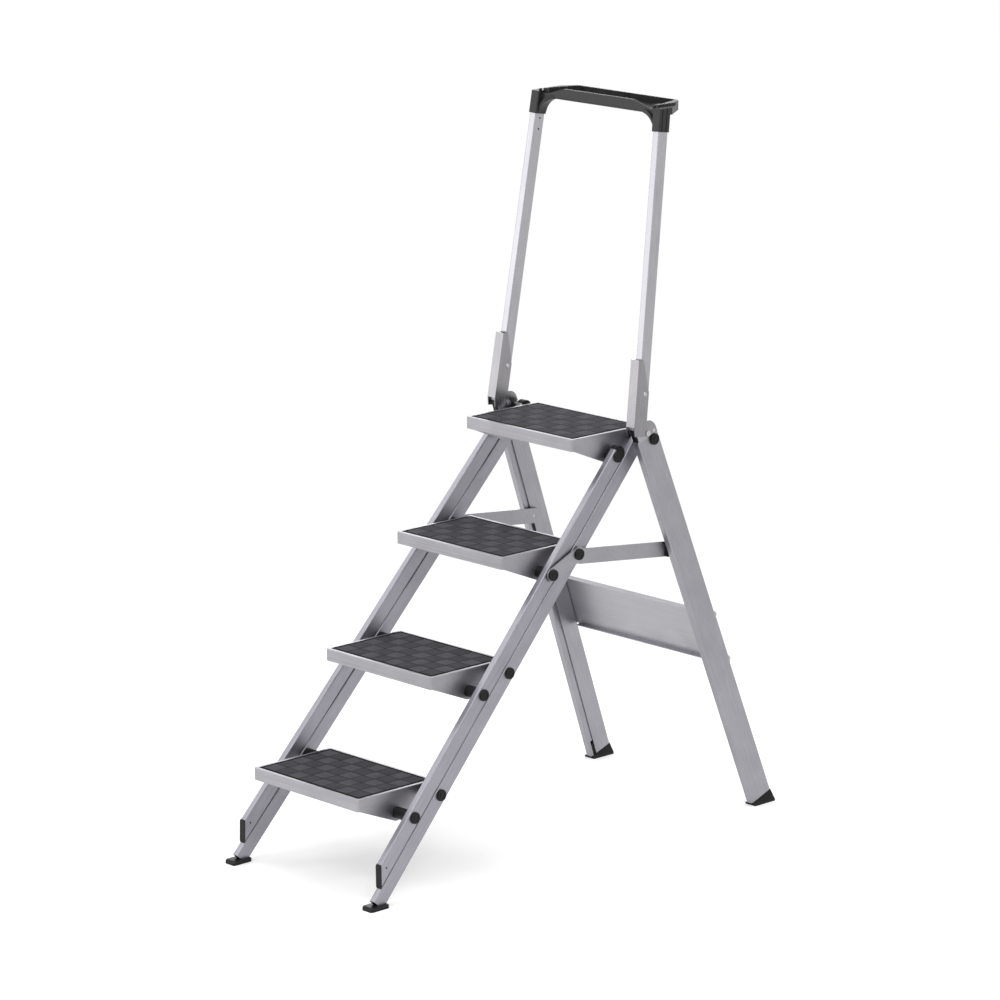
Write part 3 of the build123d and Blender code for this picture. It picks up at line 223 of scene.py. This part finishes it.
def moulded(name, dark, light, roughness, grain, strength, gloss):
    """Moulded plastic or rubber: fine grain, slightly uneven tone and roughness."""
    material, tree, shader = new_material(name)
    place = object_place(tree)
    fine = noise(tree, place, GRAIN_DETAIL, grain)
    clouds = noise(tree, place, MOULD_CLOUD_DETAIL, MOULD_CLOUD_SCALE)
    colour = ramp(tree, clouds, MOULD_STOPS, (dark, light))
    tree.links.new(colour, shader.inputs["Base Color"])
    tree.links.new(spread(tree, clouds, *roughness), shader.inputs["Roughness"])
    shader.inputs["Specular IOR Level"].default_value = gloss
    bump(tree, shader, fine, strength, MOULD_BUMP_DEPTH)
    return material


def grey(value):
    """A dark grey with a trace of blue."""
    return (value, value, value * GREY_BLUE)


# Finishes, among them copies of the aluminium and of the mat's rubber that carry painted light and shade
rail_metal = brushed_metal(
    "rail_aluminium", dark=(0.262, 0.256, 0.288), light=(0.375, 0.366, 0.405), lean=RAIL_LEAN
)
leg_metal = brushed_metal(
    "leg_aluminium", dark=(0.275, 0.27, 0.294), light=(0.385, 0.38, 0.41), lean=LEG_LEAN
)
post_metal = brushed_metal(
    "post_aluminium",
    dark=(0.335, 0.33, 0.356),
    light=(0.46, 0.453, 0.48),
    lean=POST_LEAN,
    roughness=SMOOTH,
)
# Brackets: the aluminium painted darker, painted shade standing in for the shade on their sides
bracket_metal_painted_darker = brushed_metal(
    "bracket_aluminium_painted_darker",
    dark=(0.235, 0.229, 0.241),
    light=(0.335, 0.327, 0.34),
    lean=POST_LEAN,
    roughness=SMOOTH,
)
sheet_metal = brushed_metal("tread_aluminium", dark=(0.29, 0.284, 0.306), light=(0.42, 0.412, 0.438))
# Panel and leg heads: the aluminium painted lighter, painted light that makes up for the floor's shadow it
# reflects
panel_metal_painted_lighter = brushed_metal("panel_aluminium_painted_lighter", dark=(0.35, 0.345, 0.37), light=(0.47, 0.463, 0.49))
bar_metal = brushed_metal("link_aluminium", dark=(0.28, 0.276, 0.296), light=(0.38, 0.375, 0.398))
pin_metal = brushed_metal("pin_steel", dark=(0.40, 0.40, 0.41), light=(0.56, 0.56, 0.57), roughness=SMOOTH)
black_plastic = moulded(
    "black_plastic",
    dark=grey(0.007),
    light=grey(0.012),
    roughness=SATIN,
    grain=PLASTIC_GRAIN,
    strength=0.25,
    gloss=0.18,
)
tray_plastic = moulded(
    "tray_plastic",
    dark=grey(0.013),
    light=grey(0.022),
    roughness=SATIN,
    grain=PLASTIC_GRAIN,
    strength=0.2,
    gloss=0.35,
)
# Groove rubber: painted shade, near black in the grooves between the tiles and round the border
groove_rubber_painted_shade = moulded(
    "groove_rubber_painted_shade",
    dark=grey(0.006),
    light=grey(0.011),
    roughness=DULL,
    grain=RUBBER_GRAIN,
    strength=0.3,
    gloss=0.08,
)
# Crosswise ribs: the same rubber painted lighter, as if lit, a painted checker of light together with the
# lengthwise ribs
cross_rubber_painted_lighter = moulded(
    "cross_rubber_painted_lighter",
    dark=grey(0.072),
    light=grey(0.095),
    roughness=MATT,
    grain=RUBBER_GRAIN,
    strength=0.35,
    gloss=0.1,
)
# Lengthwise ribs: the same rubber painted darker, as if in shade
long_rubber_painted_darker = moulded(
    "long_rubber_painted_darker",
    dark=grey(0.058),
    light=grey(0.078),
    roughness=MATT,
    grain=RUBBER_GRAIN,
    strength=0.35,
    gloss=0.1,
)


def dress(names, material):
    """Give CAD nodes a material."""
    for name in names:
        node = nodes[name]
        node.data.materials.clear()
        node.data.materials.append(material)


def both(name):
    """Names of the left and the right piece."""
    return [f"{name}_left", f"{name}_right"]


def rows(name):
    """Names of the pieces of all steps, from the floor up."""
    return [f"{name}_{number}" for number in range(1, STEP_COUNT + 1)]


dress(both("front_rail") + both("rear_rail"), rail_metal)
dress(both("rear_leg"), leg_metal)
dress(both("handrail_tube"), post_metal)
# Brackets take the aluminium painted darker
dress(both("handrail_bracket"), bracket_metal_painted_darker)
dress(rows("step"), sheet_metal)
# Leg heads and cross panel take the aluminium painted lighter
dress(both("leg_head") + ["cross_panel"], panel_metal_painted_lighter)
dress(both("link_bar"), bar_metal)
dress(rows("front_rod") + rows("rear_rod"), pin_metal)
dress(
    [
        "link_pins",
        "panel_bolts",
        "handrail_hinge_pins",
        "handrail_stop_pins",
        "bracket_rivets",
        "tray_screws",
    ],
    pin_metal,
)
dress(rows("front_sleeves") + rows("rear_sleeves"), black_plastic)
dress(both("front_foot") + both("rear_foot"), black_plastic)
dress(["tool_tray"], tray_plastic)
dress(
    [
        "front_rail_plugs",
        "front_rail_caps",
        "rear_rail_caps",
        "front_rod_caps",
        "rear_rod_caps",
        "leg_pivot_caps",
        "leg_sleeves",
        "link_sliders",
        "head_pads",
    ],
    black_plastic,
)


def new_object(name, data):
    """An object in the scene around its data."""
    item = bpy.data.objects.new(name, data)
    bpy.context.scene.collection.objects.link(item)
    return item


def rectangle(x0, y0, x1, y1):
    """Corners of a rectangle as (x, y) points, anticlockwise."""
    return [(x0, y0), (x1, y0), (x1, y1), (x0, y1)]


def rounded_outline(low, high, radius):
    """Corner-rounded rectangle as a list of (x, y) points, anticlockwise."""
    left, right = low.x + radius, high.x - radius
    near, far = low.y + radius, high.y - radius
    centres = [(right, far), (left, far), (left, near), (right, near)]
    outline = []
    for corner, (x, y) in enumerate(centres):
        for index in range(CORNER_POINTS + 1):
            turn = radians(QUARTER_TURN * corner + QUARTER_TURN * index / CORNER_POINTS)
            outline.append((x + radius * cos(turn), y + radius * sin(turn)))
    return outline


def add_block(mesh, foot, crest, low_z, high_z, tone):
    """A closed block between two outlines of as many points, in one of the mesh's materials."""
    lower = [mesh.verts.new((x, y, low_z)) for x, y in foot]
    upper = [mesh.verts.new((x, y, high_z)) for x, y in crest]
    faces = [mesh.faces.new(reversed(lower)), mesh.faces.new(upper)]
    count = len(foot)
    for index in range(count):
        after = (index + 1) % count
        faces.append(mesh.faces.new((lower[index], lower[after], upper[after], upper[index])))
    for face in faces:
        face.material_index = tone


def add_rib(mesh, x0, y0, x1, y1, low_z, high_z, tone):
    """A rib with sloping shoulders all round."""
    foot = rectangle(x0, y0, x1, y1)
    crest = rectangle(x0 + RIB_SHOULDER, y0 + RIB_SHOULDER, x1 - RIB_SHOULDER, y1 - RIB_SHOULDER)
    add_block(mesh, foot, crest, low_z, high_z, tone)


def add_tile(mesh, x0, y0, x1, y1, low_z, high_z, crosswise):
    """The ribs of one tile, side by side, along X where they run crosswise and along Y otherwise."""
    span = (y1 - y0 if crosswise else x1 - x0) / RIBS_PER_TILE
    for index in range(RIBS_PER_TILE):
        start = span * (index + (1 - RIB_FILL) / 2)
        end = span * (index + (1 + RIB_FILL) / 2)
        # Crosswise ribs take the tone painted lighter, lengthwise ribs the tone painted darker
        if crosswise:
            add_rib(mesh, x0, y0 + start, x1, y0 + end, low_z, high_z, CROSS_TONE)
        else:
            add_rib(mesh, x0 + start, y0, x0 + end, y1, low_z, high_z, LONG_TONE)


def ribbed_mat(name, node):
    """A mat of square tiles whose ribs turn from tile to tile, in the space of its CAD node."""
    low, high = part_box(node)
    plate_top = high.z - RIB_HEIGHT
    outline = rounded_outline(low, high, MAT_CORNER)
    mesh = bmesh.new()
    # The plate under the ribs, seen in the grooves and the border, takes the painted shade
    add_block(mesh, outline, outline, low.z, plate_top, GROOVE_TONE)
    start_x = low.x + TILE_BORDER
    start_y = low.y + TILE_BORDER
    tile_x = (high.x - TILE_BORDER - start_x) / MAT_COLUMNS
    tile_y = (high.y - TILE_BORDER - start_y) / MAT_ROWS
    for column in range(MAT_COLUMNS):
        x0 = start_x + tile_x * column + TILE_GROOVE / 2
        x1 = start_x + tile_x * (column + 1) - TILE_GROOVE / 2
        for row in range(MAT_ROWS):
            y0 = start_y + tile_y * row + TILE_GROOVE / 2
            y1 = start_y + tile_y * (row + 1) - TILE_GROOVE / 2
            crosswise = (column + row) % 2 == 0
            add_tile(mesh, x0, y0, x1, y1, plate_top - RIB_SUNK, high.z, crosswise)
    data = bpy.data.meshes.new(name)
    mesh.to_mesh(data)
    mesh.free()
    # The grooves' painted shade and the ribs' painted light and shade, as the mat's three materials
    for material in (groove_rubber_painted_shade, cross_rubber_painted_lighter, long_rubber_painted_darker):
        data.materials.append(material)
    piece = new_object(name, data)
    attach(piece, body_of_node[node])
    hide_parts(node)


for mat in rows("mat"):
    ribbed_mat(f"ribbed_{mat}", mat)


def aim(item, place, direction):
    """Stand a camera or lamp at a place and turn it to look along a direction."""
    item.location = place
    item.rotation_mode = "QUATERNION"
    item.rotation_quaternion = direction.to_track_quat("-Z", "Y")


# Camera
camera_data = bpy.data.cameras.new("camera")
camera_data.sensor_width = CAMERA_SENSOR
camera_data.lens = CAMERA_LENS
camera_data.clip_start = CAMERA_NEAR
camera_data.clip_end = CAMERA_FAR
camera = new_object("camera", camera_data)
azimuth = radians(CAMERA_AZIMUTH)
elevation = radians(CAMERA_ELEVATION)
back = Vector((sin(azimuth) * cos(elevation), -cos(azimuth) * cos(elevation), sin(elevation)))
aim(camera, CAMERA_PLACE, -back)
bpy.context.scene.camera = camera


def seen_rays(tree):
    """A value that is 1 for rays from the camera, reflections and glass, and 0 for light on surfaces."""
    rays = add_node(tree, "ShaderNodeLightPath")
    total = rays.outputs["Is Camera Ray"]
    for kind in ("Is Glossy Ray", "Is Transmission Ray"):
        larger = add_node(tree, "ShaderNodeMath", operation="MAXIMUM")
        tree.links.new(total, larger.inputs[0])
        tree.links.new(rays.outputs[kind], larger.inputs[1])
        total = larger.outputs["Value"]
    return total


# Floor: white where it is lit, with a soft shadow, and fading into the white backdrop away from the object
floor_mesh = bpy.data.meshes.new("floor")
floor_corners = rectangle(-FLOOR_HALF, -FLOOR_HALF, FLOOR_HALF, FLOOR_HALF)
floor_mesh.from_pydata([(x, y, 0.0) for x, y in floor_corners], [], [(0, 1, 2, 3)])
floor = new_object("floor", floor_mesh)
floor_material, floor_tree, floor_shader = new_material("floor_white")
floor_shader.inputs["Base Color"].default_value = FLOOR_COLOUR
floor_shader.inputs["Roughness"].default_value = FLOOR_ROUGHNESS
floor_shader.inputs["Emission Color"].default_value = WHITE
floor_glow = spread(floor_tree, seen_rays(floor_tree), 0.0, FLOOR_GLOW)
floor_tree.links.new(floor_glow, floor_shader.inputs["Emission Strength"])
floor_distance = add_node(floor_tree, "ShaderNodeVectorMath", operation="LENGTH")
floor_tree.links.new(object_place(floor_tree), floor_distance.inputs[0])
floor_fade = add_node(floor_tree, "ShaderNodeMapRange", interpolation_type="SMOOTHSTEP")
floor_fade.inputs["From Min"].default_value = FADE_START
floor_fade.inputs["From Max"].default_value = FADE_END
floor_tree.links.new(floor_distance.outputs["Value"], floor_fade.inputs["Value"])
floor_clear = add_node(floor_tree, "ShaderNodeBsdfTransparent")
floor_mix = add_node(floor_tree, "ShaderNodeMixShader")
floor_tree.links.new(floor_fade.outputs["Result"], floor_mix.inputs["Fac"])
floor_tree.links.new(floor_shader.outputs["BSDF"], floor_mix.inputs[1])
floor_tree.links.new(floor_clear.outputs["BSDF"], floor_mix.inputs[2])
floor_tree.links.new(floor_mix.outputs["Shader"], floor_tree.nodes["Material Output"].inputs["Surface"])
floor_mesh.materials.append(floor_material)

# World: white to the eye and in reflections, soft fill light otherwise
world = bpy.data.worlds.new("world")
bpy.context.scene.world = world
world.use_nodes = True
world_tree = world.node_tree
backdrop = world_tree.nodes["Background"]
backdrop.inputs["Color"].default_value = WHITE
world_level = spread(world_tree, seen_rays(world_tree), WORLD_FILL, WORLD_SEEN)
world_tree.links.new(world_level, backdrop.inputs["Strength"])


def soft_light(name, place, target, size, power):
    """A square area lamp aimed at a point."""
    data = bpy.data.lights.new(name, "AREA")
    data.size = size
    data.energy = power
    aim(new_object(name, data), place, Vector(target) - Vector(place))


# Lamps
soft_light("key_light", place=(-0.6, -3.8, 3.6), target=(0.0, 0.0, 0.7), size=2.6, power=55.0)
soft_light("top_light", place=(0.3, 0.4, 4.2), target=(0.0, 0.0, 0.6), size=2.6, power=45.0)
soft_light("left_light", place=(-2.6, -2.3, 1.25), target=(0.0, 0.2, 1.1), size=1.6, power=12.0)
soft_light("back_light", place=(-2.8, 3.0, 1.4), target=(0.0, 0.2, 1.0), size=2.0, power=36.0)
soft_light("rim_light", place=(-2.45, -1.0, 3.0), target=(0.0, 0.0, 0.6), size=1.4, power=9.0)
soft_light("edge_light", place=(2.4, -1.2, 3.0), target=(0.0, 0.0, 0.8), size=0.6, power=12.0)

bpy.context.scene.view_settings.view_transform = "Standard"
